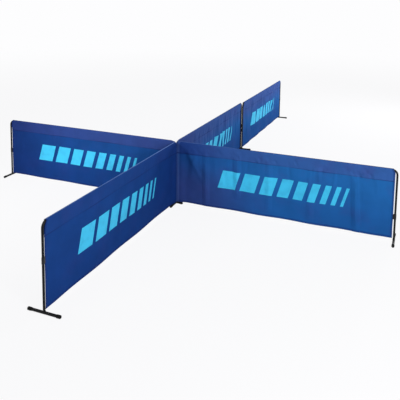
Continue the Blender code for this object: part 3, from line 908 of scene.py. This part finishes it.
# The blue is painted from its shaded to its lit tint by the painted light level
bright = add_node(tree, 'ShaderNodeAttribute', attribute_name="bright").outputs["Fac"]
body = add_node(tree, 'ShaderNodeMix',
                {0: bright, 6: linear(CLOTH_SHADED), 7: linear(CLOTH_LIT)},
                data_type='RGBA')
patches = add_node(tree, 'ShaderNodeTexNoise',
                   {"Vector": at, "Detail": 4, "Scale": PATCHES_A_METRE})
violet = add_node(tree, 'ShaderNodeMapRange',
                  {"Value": patches.outputs["Fac"], "From Min": PATCH_RANGE[0],
                   "From Max": PATCH_RANGE[1], "To Max": PATCH_SHARE})
faded = add_node(tree, 'ShaderNodeMath',
                 {0: bright, 1: PATCH_FADE[0], 2: PATCH_FADE[1]},
                 operation='MULTIPLY_ADD')
violet_share = add_node(tree, 'ShaderNodeMath',
                        {0: violet.outputs[0], 1: faded.outputs[0]}, operation='MULTIPLY')
uneven = add_node(tree, 'ShaderNodeMix',
                  {0: violet_share.outputs[0], 6: body.outputs[2],
                   7: linear(CLOTH_VIOLET)}, data_type='RGBA')
# Painted shade in the double band, where less light comes through the cloth
double = add_node(tree, 'ShaderNodeAttribute', attribute_name="double").outputs["Fac"]
banded = add_node(tree, 'ShaderNodeMix',
                  {0: double, 6: uneven.outputs[2], 7: linear(CLOTH_BAND)},
                  data_type='RGBA')
# The hems are painted darker, as painted shade along their turned edges
hem = add_node(tree, 'ShaderNodeAttribute', attribute_name="hem").outputs["Fac"]
hem_share = add_node(tree, 'ShaderNodeMath', {0: hem, 1: HEM_SHARE}, operation='MULTIPLY')
hemmed = add_node(tree, 'ShaderNodeMix',
                  {0: hem_share.outputs[0], 6: banded.outputs[2], 7: linear(CLOTH_HEM)},
                  data_type='RGBA')
clouds = add_node(tree, 'ShaderNodeTexNoise',
                  {"Vector": at, "Detail": 3, "Scale": CLOUDS_A_METRE})
shade = add_node(tree, 'ShaderNodeMapRange',
                 {"Value": clouds.outputs["Fac"], "From Min": CLOUD_RANGE[0],
                  "From Max": CLOUD_RANGE[1], "To Min": CLOUD_SHADES[0],
                  "To Max": CLOUD_SHADES[1]})
# Painted highlight towards a pale tint where the mark is positive, painted shade towards a dark
# one where it is negative
painted_light_mark = add_node(tree, 'ShaderNodeAttribute', attribute_name="worn").outputs["Fac"]
highlighted = add_node(tree, 'ShaderNodeMix',
                 {0: painted_light_mark, 6: hemmed.outputs[2], 7: linear(CLOTH_HIGHLIGHT)}, data_type='RGBA')
shaded = add_node(tree, 'ShaderNodeMath', {0: painted_light_mark, 1: -1.0}, operation='MULTIPLY')
darkened = add_node(tree, 'ShaderNodeMix',
                    {0: shaded.outputs[0], 6: highlighted.outputs[2], 7: linear(CLOTH_SHADOW)},
                    data_type='RGBA')
dyed = add_node(tree, 'ShaderNodeVectorMath',
                {0: darkened.outputs[2], "Scale": shade.outputs[0]}, operation='SCALE')
tree.links.new(dyed.outputs[0], shader.inputs["Base Color"])


def add_weave(tree, shader, at):
    """A plain weave's relief: threads that cross over and under each other."""
    turns = add_node(tree, 'ShaderNodeVectorMath',
                     {0: at, "Scale": pi / THREAD_PITCH}, operation='SCALE')
    waves = add_node(tree, 'ShaderNodeSeparateXYZ', {0: turns.outputs[0]}).outputs
    warp = add_node(tree, 'ShaderNodeMath', {0: waves["X"]}, operation='SINE')
    weft = add_node(tree, 'ShaderNodeMath', {0: waves["Y"]}, operation='SINE')
    weave = add_node(tree, 'ShaderNodeMath',
                     {0: warp.outputs[0], 1: weft.outputs[0]}, operation='MULTIPLY')
    relief = add_node(tree, 'ShaderNodeBump',
                      {"Height": weave.outputs[0], "Strength": 0.15,
                       "Distance": THREAD_RELIEF})
    tree.links.new(relief.outputs[0], shader.inputs["Normal"])


add_weave(tree, shader, at)


# Prints: nine slanted bars in light blue, each narrower than the one before, screen
# printed on the outer face of each cover. The ink lies on the cloth as a thin film.
PRINT_MIDDLE = 1.170
PRINT_LOW = 0.265
PRINT_HIGH = 0.465
PRINT_BARS = (0.20, 0.17, 0.14, 0.12, 0.10, 0.08, 0.06, 0.045, 0.03)
PRINT_GAP = 0.050
PRINT_SLANT = 0.060
PRINT_STEP = 0.0062
PRINT_ROWS = 23
FILM_THICKNESS = 0.00016
FILM_LIFT = 0.00035
PRINT_CYAN = "#3EC2ED"
PRINT_WORN = "#38B2DE"
RUBS_A_METRE = 14
RUB_RANGE = (0.45, 0.75)


def print_bar(name, start, width):
    """One bar of a print: its middle surface and its place on the cut."""
    reading = -PANELS[name][1]
    rise = np.linspace(0, 1, PRINT_ROWS)[None, :]
    run = np.linspace(start, start + width, max(3, round(width / PRINT_STEP)))[:, None]
    x = PRINT_MIDDLE + reading * (run + PRINT_SLANT * (rise - 0.5))
    z = PRINT_LOW + (PRINT_HIGH - PRINT_LOW) * rise + 0 * run
    y = hanging_place(name, x, z) + CLOTH_THICKNESS / 2 + FILM_LIFT
    return in_world(name, x, y, z), np.stack([x, z], -1)


def joined_mesh(name, meshes):
    """One mesh from several, with their UV maps."""
    shape = bmesh.new()
    for mesh in meshes:
        shape.from_mesh(mesh)
    whole = bpy.data.meshes.new(name)
    shape.to_mesh(whole)
    shape.free()
    return whole


ink, tree, shader = new_material("light blue screen print ink", Roughness=0.6, IOR=1.5,
                                 Specular_IOR_Level=0.2)
at = add_node(tree, 'ShaderNodeUVMap', uv_map="cut").outputs[0]
rubs = add_node(tree, 'ShaderNodeTexNoise',
                {"Vector": at, "Detail": 6, "Scale": RUBS_A_METRE})
thin = add_node(tree, 'ShaderNodeMapRange',
                {"Value": rubs.outputs["Fac"], "From Min": RUB_RANGE[0],
                 "From Max": RUB_RANGE[1]})
tint = add_node(tree, 'ShaderNodeMix',
                {0: thin.outputs[0], 6: linear(PRINT_CYAN), 7: linear(PRINT_WORN)},
                data_type='RGBA')
tree.links.new(tint.outputs[2], shader.inputs["Base Color"])
add_weave(tree, shader, at)

prints = {}
for name in PANELS:
    start = -(sum(PRINT_BARS) + PRINT_GAP * (len(PRINT_BARS) - 1)) / 2
    bars = []
    for width in PRINT_BARS:
        mid, cut = print_bar(name, start, width)
        bars.append(sheet_mesh("bar", mid, FILM_THICKNESS, cut))
        start += width + PRINT_GAP
    prints[name] = add_piece(name + "_cover_print", joined_mesh(name + "_print", bars))
    prints[name].data.materials.append(ink)
    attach(prints[name], name + "_panel")


# Stitches: dark blue polyester thread, one lockstitch after another along the band's
# seam, the foot hem and the side hems. Each goes right through both layers of cloth.
STITCH_PITCH = 0.006
STITCH_SIZE = (0.0040, 0.0010, 0.0032)
STITCH_UNEVENNESS = 0.1
STITCH_SEED = 5
THREAD_BLUE = "#1C2A63"
FADES_A_METRE = 9
HEM_SEAM = 0.004
SEAM_POINTS = 500
SIDE_SEAM_POINTS = 90

thread, tree, shader = new_material("dark blue polyester sewing thread", Roughness=0.6,
                                    IOR=1.5, Specular_IOR_Level=0.2)
place = add_node(tree, 'ShaderNodeTexCoord').outputs["Object"]
faded = add_node(tree, 'ShaderNodeTexNoise',
                 {"Vector": place, "Detail": 2, "Scale": FADES_A_METRE})
tint = add_node(tree, 'ShaderNodeMix',
                {0: faded.outputs["Fac"], 6: linear(CLOTH_HEM), 7: linear(THREAD_BLUE)},
                data_type='RGBA')
tree.links.new(tint.outputs[2], shader.inputs["Base Color"])


def seam_lines(name):
    """The cover's sewn lines, midway between the layers that they hold."""
    shares = np.linspace(0, 1, SEAM_POINTS)
    lines = []
    for z, gap in ((STITCH_HEIGHT + HEM_SEAM, FLAP_GAP),
                   (HEM_HEIGHT + BOTTOM_HEM - HEM_SEAM, HEM_TURN)):
        near, far = cloth_ends(name, z)
        if name in HUB_OVERLAPS and gap == FLAP_GAP:
            near = OPEN_FLAP_REACH + OPEN_FLAP_BLEND
        x = near + HEM_SEAM + (far - near - 2 * HEM_SEAM) * shares
        lines.append(in_world(name, x, hanging_place(name, x, z) - gap / 2, z))
    z = np.linspace(HEM_HEIGHT + BOTTOM_HEM, STITCH_HEIGHT - HEM_SEAM, SIDE_SEAM_POINTS)
    near, far = cloth_ends(name, z)
    for x in (near + SIDE_HEM - HEM_SEAM + 0 * z, far - SIDE_HEM + HEM_SEAM):
        lines.append(in_world(name, x, hanging_place(name, x, z), z))
    return lines


stitches = {}
for name, (turn, side) in PANELS.items():
    stitches[name] = beads_along(name + "_cover_stitches", seam_lines(name),
                                 Pitch=STITCH_PITCH, Size=STITCH_SIZE,
                                 Facing=(-sin(turn) * side, cos(turn) * side, 0),
                                 Unevenness=STITCH_UNEVENNESS, Seed=STITCH_SEED,
                                 Finish=thread)
    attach(stitches[name], name + "_panel")


# Ties: a black woven strap at each open end of a cover. It is sewn flat on the back of
# the side hem, goes round the post and is tacked down on the hem's outer face.
STRAP_THICKNESS = 0.0018
STRAP_CLEAR = 0.0002
STRAP_SEWN = 0.018
STRAP_LAP = 0.005
STRAP_PAST_EDGE = 0.001
LAP_POINTS = 3
SEWN_POINTS = 4
SPAN_POINTS = 4
ARC_POINTS = 25
STRAP_ROWS = 11
WEBBING_BLACK = "#0C0D0F"
WEBBING_RIB = "#1A1B1F"
RIB_PITCH = 0.0028
RIB_RELIEF = 0.0003

# Webbing: cross ribs of thick yarn, matt black with a little fuzz. A wave texture of
# scale one repeats each pi / 10 metres.
webbing, tree, shader = new_material("black woven webbing", Roughness=0.75,
                                     Sheen_Weight=0.1, Specular_IOR_Level=0.3)
at = add_node(tree, 'ShaderNodeUVMap', uv_map="cut").outputs[0]
ribs = add_node(tree, 'ShaderNodeTexWave',
                {"Vector": at, "Scale": pi / 10 / RIB_PITCH, "Distortion": 0.6,
                 "Detail Scale": 60}, bands_direction='X')
tint = add_node(tree, 'ShaderNodeMix',
                {0: ribs.outputs["Fac"], 6: linear(WEBBING_BLACK),
                 7: linear(WEBBING_RIB)}, data_type='RGBA')
tree.links.new(tint.outputs[2], shader.inputs["Base Color"])
relief = add_node(tree, 'ShaderNodeBump',
                  {"Height": ribs.outputs["Fac"], "Strength": 0.4,
                   "Distance": RIB_RELIEF})
tree.links.new(relief.outputs[0], shader.inputs["Normal"])


def strap_path(edge):
    """A tie seen from above: out over the cloth's edge, round the post and back.

    It runs in panel lengths from a post at nought, with the cloth on the negative side.
    """
    radius = TUBE_RADIUS + STRAP_THICKNESS / 2 + STRAP_CLEAR
    step = (HEM_THICKNESS + STRAP_THICKNESS) / 2 + STRAP_CLEAR
    outer, rear = FLAP_GAP / 2 + step, FLAP_GAP / 2 - step
    leave = atan2(outer, -edge) - acos(radius / hypot(edge, outer))
    come = atan2(rear, -edge) + acos(radius / hypot(edge, rear)) + 2 * pi * (rear < 0)
    turns = np.linspace(leave, come - 2 * pi, ARC_POINTS)
    arc = radius * np.stack([np.cos(turns), np.sin(turns)], -1)
    lap = np.linspace(-edge - STRAP_LAP, -edge, LAP_POINTS)
    sewn = np.linspace(-edge, -edge - STRAP_SEWN, SEWN_POINTS)
    out = np.stack([lap, outer + 0 * lap], -1)
    back = np.stack([sewn, rear + 0 * sewn], -1)
    share = np.linspace(0, 1, SPAN_POINTS + 2)[1:-1, None]
    return np.concatenate([out, out[-1] + (arc[0] - out[-1]) * share, arc,
                           arc[-1] + (back[0] - arc[-1]) * share, back])


straps = {name: [] for name in PANELS}
for node_name in [name for name in frame["nodes"] if name.endswith("_tie")]:
    name = node_name.split("_")[0]
    inner = "inner" in node_name
    path = strap_path(EDGE_INSET - STRAP_PAST_EDGE)
    height = TIE_HEIGHTS[name] + TIE_WIDTH * np.linspace(-0.5, 0.5, STRAP_ROWS)
    x = (-path[:, 0] if inner else POST_SPACING + path[:, 0])[:, None] + 0 * height
    y = path[:, 1][:, None] + 0 * height
    run = np.concatenate([[0], np.cumsum(np.hypot(*np.diff(path, axis=0).T))])
    cut = np.stack([run[:, None] + 0 * height, height + 0 * y], -1)
    strap = add_piece(node_name + "_strap", sheet_mesh(
        "strap", in_world(name, x, y, height + 0 * x), STRAP_THICKNESS, cut))
    strap.data.materials.append(webbing)
    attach(strap, name + "_panel")
    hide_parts(node_name)
    straps[name].append(strap)


for name in PANELS:
    cover = add_piece(name + "_cover_cloth", cover_mesh(name))
    cover.data.materials.append(cloth)
    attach(cover, name + "_panel")
    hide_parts(name + "_cover")
